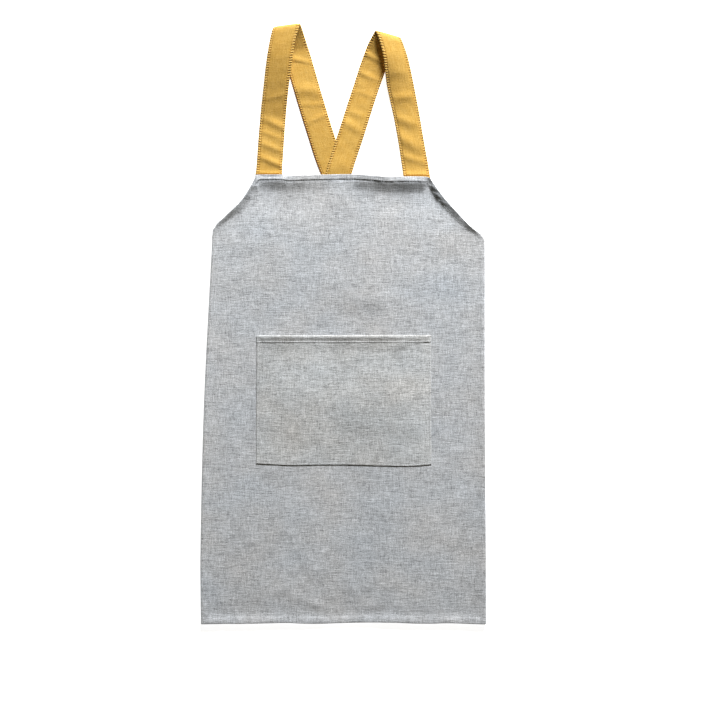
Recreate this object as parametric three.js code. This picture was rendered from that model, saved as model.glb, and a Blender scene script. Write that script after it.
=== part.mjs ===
import * as THREE from 'three';

// A cross-back canvas apron lying on a floor with its front side up, in millimetres.
// X runs across the apron, Y from its hem to its shoulder straps and Z up from the floor.
// Heights are measured along Y from the hem until the finished apron is centred on the origin.

// Cloth
const CANVAS = 1.2; // one layer
const HEM = 2.4; // an edge turned under
const HEM_WIDTH = 14;
const STRAP = 2.2; // a strap is canvas folded into four
const SEWN = 0.3; // space left between two pieces that are sewn together

// Body panel: the front, with a wing folded under it at each side
const FOLD_RADIUS = 5.3; // of the outside of a side fold
const HALF_CUT = 475; // along the cloth, from the middle of the front to the back edge of a wing
const BIB_HALF = 157; // half the length of the bib's top edge
const BIB_TOP = 803; // height of the ends of that edge
const BIB_ARCH = 7; // how much higher its middle is
const ARMHOLE_LOW = 640; // height that the armhole's curve runs out to
const ARMHOLE_DROP = 163; // its fall from the bib's corner to there
const ARMHOLE_REACH = 104; // the distance over which it flattens

// The outside of each side fold
const SIDE_FOLDS = [
  { height: 0, left: 256, right: 257.5 },
  { height: 130, left: 257, right: 257.3 },
  { height: 400, left: 250.4, right: 255.6 },
  { height: 690, left: 236, right: 255.4 },
];

// How high the outside of the front lies above the floor, in its middle and at its sides
const FRONT_RISE = [
  { height: 0, middle: 5.8, side: 2 * FOLD_RADIUS },
  { height: 300, middle: 5.8, side: 2 * FOLD_RADIUS },
  { height: 520, middle: 6.4, side: 2 * FOLD_RADIUS },
  { height: 640, middle: 8.2, side: 2 * FOLD_RADIUS },
  { height: 720, middle: 8.4, side: 2 * FOLD_RADIUS },
  { height: 765, middle: 8.4, side: 4.4 },
  { height: 810, middle: 8, side: 4.9 },
];

// Patch pocket
const POCKET_BOTTOM = 288; // height of its lower corners
const POCKET_TOP = 520;
const POCKET_SAG = 3; // how far the lower edge bows down in its middle
const POCKET_MIDDLE = 1.5; // its place across the front
const POCKET_TOP_HALF = 154;
const POCKET_BOTTOM_HALF = 157.5;
const POCKET_HEM = 2.4;
const POCKET_HEM_WIDTH = 9;
const POCKET_SLACK = 6.4; // how far its mouth stands open

// Shoulder straps, from the end under the bib over the fold to the end on the opposite wing.
// Each row gives the two edges of the strap, as seen from its front, at one place along it.
const STRAP_LEFT = [
  { place: 'end under the bib', left: [-160, 779, 1.1], right: [-113, 778, 2.2] },
  { place: 'top of the bib', left: [-158, 807, 1.1], right: [-110, 807, 2.2] },
  { place: 'front', left: [-153, 872, 1.1], right: [-106, 872, 1.1] },
  { place: 'front', left: [-147.6, 937, 2.4], right: [-100.8, 937, 2.2] },
  { place: 'front', left: [-140.4, 1002, 8], right: [-93, 1002, 5.4] },
  { place: 'front', left: [-133.6, 1045, 13], right: [-86.4, 1045, 6.6] },
  { place: 'over the fold', left: [-128.5, 1069, 15], right: [-79.4, 1078, 7.1] },
  { place: 'fold', left: [-126, 1074.6, 8.1], right: [-78.3, 1081, 4.1] },
  { place: 'under the fold', left: [-123, 1067.6, 1.1], right: [-76.4, 1077.6, 1.1] },
  { place: 'back', left: [-110.7, 1034, 1.1], right: [-61.2, 1034, 1.1] },
  { place: 'back', left: [-92.3, 969.5, 1.1], right: [-42, 969.5, 1.1] },
  { place: 'back', left: [-66.6, 883, 1.1], right: [-17, 883, 1.1] },
  { place: 'behind the bib', left: [-41, 815, 1.1], right: [8, 815, 1.1] },
  { place: 'behind the bib', left: [-2, 737, 1.1], right: [48, 737, 1.1] },
  { place: 'above the wing', left: [26, 679, 3.6], right: [76, 679, 3.6] },
  { place: 'top of the wing', left: [40, 650, 4.2], right: [90, 650, 4.2] },
  { place: 'end on the wing', left: [53, 621, 4.2], right: [103, 621, 4.2] },
];
const STRAP_RIGHT = [
  { place: 'end under the bib', left: [114, 777, 2.2], right: [160.6, 777, 1.1] },
  { place: 'top of the bib', left: [109, 806, 2.2], right: [156.6, 806, 1.1] },
  { place: 'front', left: [99, 872, 1.1], right: [146, 872, 1.1] },
  { place: 'front', left: [86.8, 937, 2.2], right: [135, 937, 3] },
  { place: 'front', left: [75.6, 1002, 5], right: [122, 1002, 14] },
  { place: 'front', left: [69.4, 1034, 5.8], right: [113, 1034, 21] },
  { place: 'over the fold', left: [61.4, 1062.6, 6.1], right: [107.4, 1047, 23] },
  { place: 'fold', left: [59, 1068.2, 3.6], right: [104, 1054.6, 12.1] },
  { place: 'under the fold', left: [57, 1063, 1.1], right: [98.4, 1047, 1.1] },
  { place: 'back', left: [36, 1023.5, 1.1], right: [84.5, 1023.5, 1.1] },
  { place: 'back', left: [18, 969.5, 1.1], right: [66.6, 969.5, 1.1] },
  { place: 'back', left: [3.6, 926, 1.8], right: [52.2, 926, 1.8] },
  { place: 'over the other strap', left: [-10.8, 883, 3.6], right: [39.6, 883, 3.6] },
  { place: 'behind the bib', left: [-31.5, 815, 3.6], right: [17, 815, 3.6] },
  { place: 'behind the bib', left: [-43, 764, 3.6], right: [5.4, 764, 3.6] },
  { place: 'above the wing', left: [-56.7, 692, 3.9], right: [-8, 692, 3.9] },
  { place: 'top of the wing', left: [-64, 652, 4.2], right: [-16, 652, 4.2] },
  { place: 'end on the wing', left: [-69, 621, 4.2], right: [-21, 621, 4.2] },
];

// Mesh spacing
const BODY_ROWS = 26;
const BIB_COLUMNS = 7;
const ARMHOLE_COLUMNS = 5;
const FOLD_COLUMNS = 7;
const WING_COLUMNS = 6;
const POCKET_COLUMNS = 18;
const POCKET_ROWS = 12;
const STRAP_COLUMNS = 3;
const STRAP_ROWS_EACH = 4; // between two places along a strap

const canvasLook = new THREE.MeshStandardMaterial({ color: 0xb9bbbd, roughness: 0.95, metalness: 0 });
const pocketLook = new THREE.MeshStandardMaterial({ color: 0xb4b5b6, roughness: 0.95, metalness: 0 });
const strapLook = new THREE.MeshStandardMaterial({ color: 0xd4a84f, roughness: 0.9, metalness: 0 });

// A smooth curve through one column of a table
function curveThrough(rows, column) {
  const heights = rows.map((row) => row.height);
  const values = rows.map((row) => row[column]);
  const curve = new THREE.CubicInterpolant(heights, values, 1);
  return (height) => curve.evaluate(height)[0];
}

// A curve that levels out at each row of a table
function levelsThrough(rows, column) {
  return (height) => {
    const next = Math.max(1, rows.findIndex((row) => row.height >= height));
    const low = rows[next - 1];
    const high = rows[next];
    const share = THREE.MathUtils.smoothstep(height, low.height, high.height);
    return THREE.MathUtils.lerp(low[column], high[column], share);
  };
}

// A closed sheet with an outer and an inner face: place(column, row, inner) gives each of its points
function makeSheet(name, columns, rows, look, place) {
  const geometry = new THREE.BoxGeometry(1, 1, 1, columns, rows, 1);
  const points = geometry.getAttribute('position');
  for (let i = 0; i < points.count; i += 1) {
    const column = Math.round((points.getX(i) + 0.5) * columns);
    const row = Math.round((points.getY(i) + 0.5) * rows);
    const point = place(column, row, points.getZ(i) < 0);
    points.setXYZ(i, point.x, point.y, point.z);
  }
  geometry.computeVertexNormals();
  const mesh = new THREE.Mesh(geometry, look);
  mesh.name = name;
  return mesh;
}

const foldOutside = {
  left: curveThrough(SIDE_FOLDS, 'left'),
  right: curveThrough(SIDE_FOLDS, 'right'),
};
const riseMiddle = levelsThrough(FRONT_RISE, 'middle');
const riseSide = levelsThrough(FRONT_RISE, 'side');

// Where the front stops being flat and starts to turn under
function foldStart(side, height) {
  return foldOutside[side](height) - FOLD_RADIUS;
}

// Half the width of the front at a height: to its side fold, or to its armhole above that
function frontHalf(side, height) {
  const fold = foldStart(side, height);
  if (height <= ARMHOLE_LOW) return fold;
  const armhole = BIB_HALF - ARMHOLE_REACH * Math.log((height - ARMHOLE_LOW) / ARMHOLE_DROP);
  return Math.min(fold, Math.max(armhole, BIB_HALF));
}

// The outside of the front above the floor
function frontRise(x, height) {
  const side = x < 0 ? 'left' : 'right';
  const across = Math.min(Math.abs(x) / frontHalf(side, height), 1);
  return THREE.MathUtils.lerp(riseMiddle(height), riseSide(height), across ** 2);
}

// The cut edge of the cloth above the hem, at a distance along the cloth from the middle of the front
function topEdge(along) {
  if (along <= BIB_HALF) return BIB_TOP + BIB_ARCH * (1 - (along / BIB_HALF) ** 2);
  return ARMHOLE_LOW + ARMHOLE_DROP * Math.exp((BIB_HALF - along) / ARMHOLE_REACH);
}

// One half of the body's columns, from the middle of the front to the back edge of the wing
function halfColumns(side) {
  const list = [];
  for (let i = 1; i <= BIB_COLUMNS; i += 1) {
    list.push({ side, bib: i / BIB_COLUMNS, armhole: 0, turn: 0, wing: 0 });
  }
  for (let i = 1; i <= ARMHOLE_COLUMNS; i += 1) {
    list.push({ side, bib: 1, armhole: i / ARMHOLE_COLUMNS, turn: 0, wing: 0 });
  }
  for (let i = 1; i <= FOLD_COLUMNS; i += 1) {
    list.push({ side, bib: 1, armhole: 1, turn: (Math.PI * i) / FOLD_COLUMNS, wing: 0 });
  }
  for (let i = 1; i <= WING_COLUMNS; i += 1) {
    list.push({ side, bib: 1, armhole: 1, turn: Math.PI, wing: i });
  }
  return list;
}

const middleColumn = { side: 'right', bib: 0, armhole: 0, turn: 0, wing: 0 };
const bodyColumns = [...halfColumns('left').reverse(), middleColumn, ...halfColumns('right')];

// How far a wing column lies from the fold, with its last two columns as the hem of the back edge
function wingReach(column, width) {
  if (column === WING_COLUMNS) return width;
  if (column === WING_COLUMNS - 1) return width - HEM_WIDTH;
  return ((width - HEM_WIDTH - 3) * column) / (WING_COLUMNS - 2);
}

// The height of a row, with the first and last two rows as hems
function rowHeight(row, top) {
  const hemRows = [0, HEM_WIDTH, HEM_WIDTH + 3];
  if (row <= 2) return hemRows[row];
  if (row >= BODY_ROWS - 2) return top - hemRows[BODY_ROWS - row];
  return THREE.MathUtils.lerp(hemRows[2], top - hemRows[2], (row - 2) / (BODY_ROWS - 4));
}

function placeBody(column, row, inner) {
  const { side, bib, armhole, turn, wing } = bodyColumns[column];
  const outward = side === 'left' ? -1 : 1;
  const spread = (height) => {
    const start = foldStart(side, height);
    const width = HALF_CUT - start - Math.PI * FOLD_RADIUS;
    const front = BIB_HALF * bib + (start - BIB_HALF) * armhole;
    return { front, reach: wing ? wingReach(wing, width) : 0 };
  };
  const atTop = spread(BIB_TOP);
  const top = topEdge(atTop.front + FOLD_RADIUS * turn + atTop.reach);
  const height = rowHeight(row, top);
  const { front, reach } = spread(height);
  const onHem = row <= 1 || row >= BODY_ROWS - 1 || wing >= WING_COLUMNS - 1;
  const depth = inner ? (onHem ? HEM : CANVAS) : 0;
  const rise = turn === 0 ? frontRise(outward * front, height) : FOLD_RADIUS * (1 + Math.cos(turn));
  return new THREE.Vector3(
    outward * (front + (FOLD_RADIUS - depth) * Math.sin(turn) - reach),
    height,
    rise - depth * Math.cos(turn),
  );
}

function placePocket(column, row, inner) {
  const across = (2 * column) / POCKET_COLUMNS - 1;
  const height = POCKET_TOP - POCKET_BOTTOM;
  const up = row < POCKET_ROWS - 2
    ? ((1 - (POCKET_HEM_WIDTH + 2) / height) * row) / (POCKET_ROWS - 2)
    : 1 - [0, POCKET_HEM_WIDTH, POCKET_HEM_WIDTH + 2][POCKET_ROWS - row] / height;
  const half = THREE.MathUtils.lerp(POCKET_BOTTOM_HALF, POCKET_TOP_HALF, up);
  const x = POCKET_MIDDLE + across * half;
  const sag = POCKET_SAG * (1 - across ** 2) * (1 - up);
  const y = POCKET_BOTTOM + height * up - sag;
  const open = POCKET_SLACK * (1 - across ** 4) * THREE.MathUtils.smoothstep(up, 0, 0.55);
  const depth = row >= POCKET_ROWS - 1 ? POCKET_HEM : CANVAS;
  return new THREE.Vector3(x, y, frontRise(x, y) + SEWN + open + (inner ? 0 : depth));
}

// A strap drawn between its two edges
function makeStrap(name, rows) {
  const edge = (key) => new THREE.CatmullRomCurve3(rows.map((row) => new THREE.Vector3(...row[key])));
  const left = edge('left');
  const right = edge('right');
  const steps = (rows.length - 1) * STRAP_ROWS_EACH;
  const at = (share, along) => {
    const point = left.getPoint(along).lerp(right.getPoint(along), share);
    point.z = Math.max(point.z, STRAP / 2);
    return point;
  };
  return makeSheet(name, STRAP_COLUMNS, steps, strapLook, (column, row, inner) => {
    const share = column / STRAP_COLUMNS;
    const along = row / steps;
    const step = 0.25 / steps;
    const forward = at(share, Math.min(along + step, 1)).sub(at(share, Math.max(along - step, 0)));
    const across = at(1, along).sub(at(0, along));
    const up = across.cross(forward).normalize();
    return at(share, along).addScaledVector(up, inner ? -STRAP / 2 : STRAP / 2);
  });
}

const group = new THREE.Group();
group.name = 'canvas_apron';
group.add(makeSheet('body_panel', bodyColumns.length - 1, BODY_ROWS, canvasLook, placeBody));
group.add(makeSheet('pocket', POCKET_COLUMNS, POCKET_ROWS, pocketLook, placePocket));
group.add(makeStrap('strap_left', STRAP_LEFT));
group.add(makeStrap('strap_right', STRAP_RIGHT));

// The origin is the middle of the apron's box, on the floor
const box = new THREE.Box3().setFromObject(group);
const middle = box.getCenter(new THREE.Vector3());
for (const mesh of group.children) {
  mesh.geometry.translate(-middle.x, -middle.y, -box.min.z);
}

export default group;
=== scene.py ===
import math
import bpy
import numpy as np
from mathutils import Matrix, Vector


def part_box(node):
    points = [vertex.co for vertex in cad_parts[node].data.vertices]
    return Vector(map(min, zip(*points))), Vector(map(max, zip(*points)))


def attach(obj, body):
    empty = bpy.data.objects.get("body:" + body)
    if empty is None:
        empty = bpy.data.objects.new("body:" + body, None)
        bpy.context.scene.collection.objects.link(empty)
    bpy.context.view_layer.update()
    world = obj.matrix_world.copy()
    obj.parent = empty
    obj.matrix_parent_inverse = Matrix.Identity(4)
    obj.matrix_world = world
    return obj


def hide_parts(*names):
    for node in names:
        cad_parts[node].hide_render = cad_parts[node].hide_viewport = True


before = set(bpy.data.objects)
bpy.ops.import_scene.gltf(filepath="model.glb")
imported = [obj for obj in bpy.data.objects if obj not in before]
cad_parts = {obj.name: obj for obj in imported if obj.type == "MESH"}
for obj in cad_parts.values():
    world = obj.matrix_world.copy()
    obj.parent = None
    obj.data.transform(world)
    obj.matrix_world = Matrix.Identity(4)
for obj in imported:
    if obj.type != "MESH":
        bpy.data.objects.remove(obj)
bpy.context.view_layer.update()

bpy.ops.object.select_all(action='DESELECT')

# Lengths are millimetres on the apron: x across it, height up from its hem, z up from the floor
mm = 0.001

pocketMiddle = 1.5  # the pocket's place across the front
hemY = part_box("body_panel")[0].y
pocketLow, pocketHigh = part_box("pocket")
middleX = (pocketLow.x + pocketHigh.x) / 2 - pocketMiddle * mm


def inFrame(points):  # millimetres on the apron to metres in the frame
    return points * mm + np.array([middleX, hemY, 0.0])


def smoothStep(low, high, value):
    share = np.clip((value - low) / (high - low), 0.0, 1.0)
    return share * share * (3.0 - 2.0 * share)


def hump(value, middle, width):
    return np.exp(-((value - middle) / width) ** 2)


def levelled(value, places, levels):  # eases from each level to the next
    places, levels = np.array(places, float), np.array(levels, float)
    after = np.clip(np.searchsorted(places, value), 1, len(places) - 1)
    share = smoothStep(places[after - 1], places[after], value)
    return levels[after - 1] + (levels[after] - levels[after - 1]) * share


def curved(value, places, levels):  # smooth curve through the levels
    places, levels = np.array(places, float), np.array(levels, float)
    steps = np.diff(levels) / np.diff(places)
    across = (levels[2:] - levels[:-2]) / (places[2:] - places[:-2])
    slopes = np.concatenate([steps[:1], across, steps[-1:]])
    value = np.clip(value, places[0], places[-1])
    after = np.clip(np.searchsorted(places, value), 1, len(places) - 1)
    span = places[after] - places[after - 1]
    t = (value - places[after - 1]) / span
    return (levels[after - 1] * (1 + 2 * t) * (1 - t) ** 2 + levels[after] * t * t * (3 - 2 * t)
            + slopes[after - 1] * span * t * (1 - t) ** 2 + slopes[after] * span * t * t * (t - 1))


def waves(x, y, seed, count, shortest, longest):  # gentle random ripple, about -1 to 1
    draw = np.random.RandomState(seed)
    total = np.zeros_like(x, dtype=float)
    for _ in range(count):
        turn, phase = draw.uniform(0, math.pi), draw.uniform(0, 2 * math.pi)
        length = draw.uniform(shortest, longest)
        total += np.sin(2 * math.pi * (x * math.cos(turn) + y * math.sin(turn)) / length + phase)
    return total / math.sqrt(count)


def gridNormals(grid):  # columns run to the right, rows run up, seen from outside
    normal = np.cross(np.gradient(grid, axis=1), np.gradient(grid, axis=0))
    return normal / np.maximum(np.linalg.norm(normal, axis=2, keepdims=True), 1e-9)


def lengthAlong(line):  # from its first point to each of them
    return np.concatenate([[0], np.cumsum(np.linalg.norm(np.diff(line, axis=0), axis=1))])


def newPiece(name, points, faces):
    mesh = bpy.data.meshes.new(name)
    mesh.from_pydata(inFrame(np.concatenate(points)).tolist(), [], faces)
    mesh.polygons.foreach_set("use_smooth", np.ones(len(mesh.polygons), bool))
    piece = bpy.data.objects.new(name, mesh)
    bpy.context.scene.collection.objects.link(piece)
    return piece


# A closed piece of cloth: its outer face, its inner face and a round edge between them
def clothSolid(name, outer, inner, weave, paintedShade, edgeSteps=3):
    rows, columns = outer.shape[:2]
    count = rows * columns
    grid = np.arange(count).reshape(rows, columns)
    border = np.concatenate([grid[0, :-1], grid[:-1, -1], grid[-1, :0:-1], grid[:0:-1, 0]])
    out = np.zeros_like(outer)
    out[0] += outer[0] - outer[1]
    out[-1] += outer[-1] - outer[-2]
    out[:, 0] += outer[:, 0] - outer[:, 1]
    out[:, -1] += outer[:, -1] - outer[:, -2]
    half = ((outer - inner) / 2).reshape(-1, 3)[border]
    middle = ((outer + inner) / 2).reshape(-1, 3)[border]
    size = np.linalg.norm(half, axis=1, keepdims=True)
    out = out.reshape(-1, 3)[border]
    out -= half * (out * half).sum(axis=1, keepdims=True) / size ** 2
    out /= np.linalg.norm(out, axis=1, keepdims=True)
    rings = [border]
    points = [outer.reshape(-1, 3), inner.reshape(-1, 3)]
    for step in range(1, edgeSteps + 1):
        turn = math.pi * step / (edgeSteps + 1)
        points.append(middle + half * math.cos(turn) + out * size * math.sin(turn))
        rings.append(2 * count + (step - 1) * len(border) + np.arange(len(border)))
    rings.append(border + count)
    low, right = grid[:-1, :-1], grid[:-1, 1:]
    high, far = grid[1:, :-1], grid[1:, 1:]
    faces = [np.stack([low, right, far, high], axis=-1).reshape(-1, 4),
             np.stack([low, high, far, right], axis=-1).reshape(-1, 4) + count]
    for upper, lower in zip(rings[:-1], rings[1:]):
        faces.append(np.stack([upper, lower, np.roll(lower, -1), np.roll(upper, -1)], axis=-1))
    piece = newPiece(name, points, np.concatenate(faces).tolist())
    mesh = piece.data
    flat = weave.reshape(-1, 2)
    flat = np.concatenate([flat, flat] + [flat[border]] * edgeSteps) * mm
    corner = np.zeros(len(mesh.loops), np.int32)
    mesh.loops.foreach_get("vertex_index", corner)
    mesh.uv_layers.new(name="cloth").data.foreach_set("uv", flat[corner].ravel())
    sunk = paintedShade.ravel()  # painted shade for the colour, darker the deeper a point sits in a seam; below zero it is painted highlight
    sunk = np.concatenate([sunk, sunk] + [sunk[border]] * edgeSteps)
    mesh.attributes.new("paintedShade", 'FLOAT', 'POINT').data.foreach_set("value", sunk)
    mesh.update()
    print(name, len(mesh.polygons), "faces")
    return piece


# Thread: one stitch is modelled, then copied along every seam
stitchShape = {"length": 3.2, "wide": 0.95, "tall": 0.8, "pitch": 4.6, "dive": 0.5, "proud": 0.05, "aim": 1.2}


def modelStitch():
    bpy.ops.mesh.primitive_uv_sphere_add(segments=6, ring_count=5, radius=0.5)
    stitch = bpy.context.object
    bpy.ops.object.mode_set(mode='EDIT')
    bpy.ops.mesh.select_all(action='SELECT')
    bpy.ops.transform.rotate(value=math.pi / 2, orient_axis='Y', center_override=(0, 0, 0))
    bpy.ops.object.mode_set(mode='OBJECT')
    for vertex in stitch.data.vertices:  # the ends dive into the cloth
        vertex.co.z -= stitchShape["dive"] * (2 * vertex.co.x) ** 2
    points = np.array([vertex.co for vertex in stitch.data.vertices])
    faces = [list(face.vertices) for face in stitch.data.polygons]
    bpy.data.objects.remove(stitch, do_unlink=True)
    return points * [stitchShape["length"], stitchShape["wide"], stitchShape["tall"]], faces


stitchPoints, stitchFaces = modelStitch()


def sewSeams(name, seams, proud):  # each seam is a line of points and the way out of the cloth there
    points, faces = [], []
    aim = stitchShape["aim"]  # half of the line that a stitch lies along
    for line, out in seams:
        run = lengthAlong(line)
        for at in np.arange(stitchShape["pitch"] / 2, run[-1], stitchShape["pitch"]):
            behind, centre, ahead = (np.array([np.interp(at + step, run, line[:, k]) for k in range(3)])
                                     for step in (-aim, 0, aim))
            up = np.array([np.interp(at, run, out[:, k]) for k in range(3)])
            along = ahead - behind
            along /= np.linalg.norm(along)
            side = np.cross(up, along)
            side /= np.linalg.norm(side)
            up = np.cross(along, side)
            faces += [[corner + len(points) * len(stitchPoints) for corner in face] for face in stitchFaces]
            points.append(centre + up * proud + stitchPoints @ np.array([along, side, up]))
    print(name, len(points), "stitches")
    return newPiece(name, points, faces)


# Body: the front, with a wing folded under it at each side
body = {
    "thick": 1.1, "hemThick": 2.4, "armholeThick": 1.4,
    "halfCut": 475,  # along the cloth from the middle to a wing's back edge
    "seam": 9.6, "hemSeam": 14,  # stitch lines in from the top edges and from the hem
    "bibHalf": 157,
    "bibPlaces": (-157, -108, -100, -77, -41, 0, 22, 49, 67, 85, 103, 150, 157),  # the bib's top edge
    "bibTops": (809.5, 809.4, 807.6, 808.4, 809.3, 810.3, 810, 808.4, 806.8, 805.8, 806, 805.4, 803.4),
    # The straps prop the bib's edge up, and that runs out below it
    "risenPlaces": (-157, -146, -128, -106, -77, -41, 0, 20, 40, 67, 88, 110, 131, 149, 157),
    "risen": (5.0, 6.2, 8.2, 8.4, 6.2, 3.4, 0.4, 4.0, 7.6, 8.8, 9.4, 10.6, 10.4, 9.2, 8.0),
    "risenFrom": (0, 3, 9.6, 10.6, 17, 24, 31, 44), "risenShare": (0.97, 1, 1, 0.955, 0.66, 0.34, 0.11, 0),
    "rollPlaces": (95, 115), "rollLeft": 0.22, "rollRight": 0.07,  # it rolls over the strap ends
    "rollBack": 0.17, "rollBackMiddle": 62, "rollBackHalf": 36,
    # Armholes, which curl up at their edges
    "armholeLow": 640, "armholeDrop": 163, "armholeReach": 104, "cornerReach": 5,
    "cornerLeft": (150, 165), "cornerRight": (143, 157),  # where the bib's edge becomes an armhole's
    "armholeLeft": 8.8, "curlLeftFrom": (0, 2, 14, 19, 28), "curlLeft": (1, 1, 0.13, 0.03, 0),
    "armholeRight": 7.4, "curlRightFrom": (0, 0.6, 12, 17, 25), "curlRight": (1, 1, 0.14, 0.04, 0),
    "curlEnd": (4, 60), "curlLeast": 0.5,  # the curls run out at the side folds
    # Where they hang (place, width, depth) and their round ends (side, start, stop, depth)
    "dips": ((-184, 15, 3.0), (240, 24, 4.0)),
    "notches": ((-1, 228, 246, 21), (1, 250, 263, 24)), "notchReach": 84,
    "steepest": 1.7,  # at most, for the width of their hems
    # Hem, side folds and rise of the front
    "hemPlaces": (-255, -228, -171, -127, -99, -80, -50, -20, 16, 45, 95, 130, 160, 189, 218, 255),
    "hemHeights": (0.9, 1.5, 1.9, 2.9, 3.5, 2.4, 1.8, 2.4, 3.6, 4.0, 3.6, 2.3, 2.1, 2.9, 2.0, 0.8),
    "hemFrom": (0, 3, 20, 50), "hemRoll": (2.1, 2.1, -0.25, 0),
    "foldHeights": (0, 130, 400, 690),  # outside of each side fold, by height
    "foldLeft": (255.4, 256.3, 249.8, 235.2),
    "foldRight": (257.5, 257.3, 255.6, 255.4),
    "foldSquare": 0.55, "foldFall": 15,  # how flat the folds are pressed, and the slope beside them
    "foldClear": (2, 18), "foldQuiet": (0, 14),  # ripples and curls end beside them
    "riseHeights": (0, 300, 520, 640, 716, 765, 810),  # top of the front above the floor, by height
    "riseMiddle": (5.8, 5.8, 6.4, 7.6, 8.2, 8.8, 9.2),
    "riseSide": (8.8, 8.8, 9.0, 8.8, 7.4, 5.2, 4.2),
    "propped": (640, 765), "proppedHalf": 48,  # the straps prop up the bib's middle
    "sag": 2.6, "sagReach": (8, 100), "sagHeights": (520, 620),  # down between the wings
    # Ripples: seed, count, shortest and longest
    "ripple": 0.24, "longRipples": (7, 9, 45, 130), "shortRipples": (11, 9, 22, 45), "shortShare": 0.5,
    "wander": 0.08, "bibWander": (19, 6, 28, 90), "armholeWander": (29, 6, 25, 70),
    "pucker": 0.28, "puckers": (23, 7, 9, 26), "puckerReach": (14, 26),
    # Seams: their widths, and how deep they sink; and a slit beside the left strap's end
    "seamAbove": 0.8, "seamBelow": 1.7, "hemSeamWide": 1.2, "wingSeamWide": 1.0,
    "armholeSink": 0.1, "hemSink": 0.16, "wingSink": 0.6, "sink": 0.95, "sinkUneven": 0.2, "sinkThin": 0.5,
    "slit": 3.0, "slitWide": 0.8, "slitSink": 1.1, "slitStart": (-148, -140), "slitStop": (-116, -108),
    "hemStep": (1, 3), "rimSlope": 0.35,  # where two layers become one, and how fast the edge thickens
    # Columns from the middle out, rows, and how far the close ones reach in from an edge
    "bibColumns": 42, "bibCrowd": 0.055, "armholeColumns": 26, "armholeCrowd": 1.2,
    "foldColumns": 10, "wingColumns": 16, "rows": 138, "hemReach": 32, "wingReach": 24,
}
bibEnd = float(body["armholeLow"] + body["armholeDrop"])  # height of the bib's two ends
farAway = 999.0  # from an edge that isn't near

# Soft folds that the cloth lies in: x and height of the middle, lean in degrees, half lengths, rise
bodyLie = [
    (48, 585, 5, 45, 15, 1.4),
    (-73, 46, -20, 50, 8, 1.0),
    (14, 68, -60, 16, 8, 0.8),
    (55, 35, 3, 34, 7, 0.8),
    (0, 150, 90, 110, 4, 0.25),
]

# Puckers across the sewn edges, given in the same way
bodyPuckers = [
    (161, 787, -29, 9, 2.6, 2.2),
    (170, 772, -24, 8, 2.5, 2.8),
    (179, 760.5, -17, 6.5, 2.2, 2.2),
    (-158, 788.5, 7, 10, 2.4, 2.2),
    (-168, 771.5, -12, 9, 2.6, 2.2),
    (80, 800, 55, 6, 2.0, 1.5),
    (90, 797, -40, 6, 2.0, 1.5),
    (62, 799, -15, 10, 2.0, 1.0),
]


def foldRadius(height):
    return levelled(height, body["riseHeights"], body["riseSide"]) / 2


def foldSide(side, height):
    return curved(height, body["foldHeights"], body[side]) - foldRadius(height)


def foldAt(x, height):  # on the side that x is on
    return np.where(x < 0, foldSide("foldLeft", height), foldSide("foldRight", height))


def frontHalf(x, height):  # to the side fold, or to the armhole above that
    above = np.maximum(height - body["armholeLow"], 0.01)
    armhole = body["bibHalf"] - body["armholeReach"] * np.log(above / body["armholeDrop"])
    return np.minimum(foldAt(x, height), np.maximum(armhole, body["bibHalf"]))


def lieOf(x, height, folds):
    total = np.zeros_like(x, dtype=float)
    for middle, level, lean, long, wide, rise in folds:
        lean = math.radians(lean)
        right, up = x - middle, height - level
        along = right * math.cos(lean) + up * math.sin(lean)
        aside = up * math.cos(lean) - right * math.sin(lean)
        total += rise * np.exp(-(along / long) ** 2 - (aside / wide) ** 2)
    return total


def frontTop(x, height):  # outside of the front above the floor
    besideFold = np.exp(-np.maximum(foldAt(x, height) - np.abs(x), 0) / body["foldFall"])
    middle = levelled(height, body["riseHeights"], body["riseMiddle"])
    side = 2 * foldRadius(height)
    onBib = smoothStep(*body["propped"], height)
    ridge = (1 - onBib) * (1 - besideFold) + onBib * hump(x, 0, body["proppedHalf"])
    ripple = waves(x, height, *body["longRipples"])
    ripple = ripple + body["shortShare"] * waves(x, height, *body["shortRipples"])
    clear = smoothStep(*body["foldClear"], frontHalf(x, height) - np.abs(x))  # the folds stay straight
    sag = body["sag"] * (1 - smoothStep(*body["sagReach"], np.abs(x)))
    sag = sag * (1 - smoothStep(*body["sagHeights"], height))
    lie = body["ripple"] * ripple + lieOf(x, height, bodyLie)
    return side + (middle - side) * ridge - sag + clear * lie


def topEdge(along):  # cut edge above the hem, by signed distance along the cloth
    bib = curved(along, body["bibPlaces"], body["bibTops"])
    past = np.maximum(np.abs(along) - body["bibHalf"], 0)
    armhole = body["armholeLow"] + body["armholeDrop"] * np.exp(-past / body["armholeReach"])
    armhole = armhole + (bib - bibEnd) * np.exp(-past / body["cornerReach"])  # the bib's corner stands up
    dip = sum(deep * hump(along, place, width) for place, width, deep in body["dips"])
    for side, first, last, deep in body["notches"]:
        after = 1 - smoothStep(last, last + body["notchReach"], side * along)
        dip = dip + deep * smoothStep(first, last, side * along) * after
    return np.where(past > 0, armhole - dip, bib)


# Points in from an edge: out to its seam, close together there, and past it
seamSpaces = {"outside": 7, "close": 7, "past": 11, "closeHalf": 1.4}
seamStep = seamSpaces["outside"] - 1 + seamSpaces["close"] // 2  # the seam's own


def edgeSpaces(rim, seam, reach):
    near, far = seam - seamSpaces["closeHalf"], seam + seamSpaces["closeHalf"]
    return np.concatenate([np.linspace(rim, near, seamSpaces["outside"])[:-1],
                           np.linspace(near, far, seamSpaces["close"]),
                           np.linspace(far, reach, seamSpaces["past"])[1:]])


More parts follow.
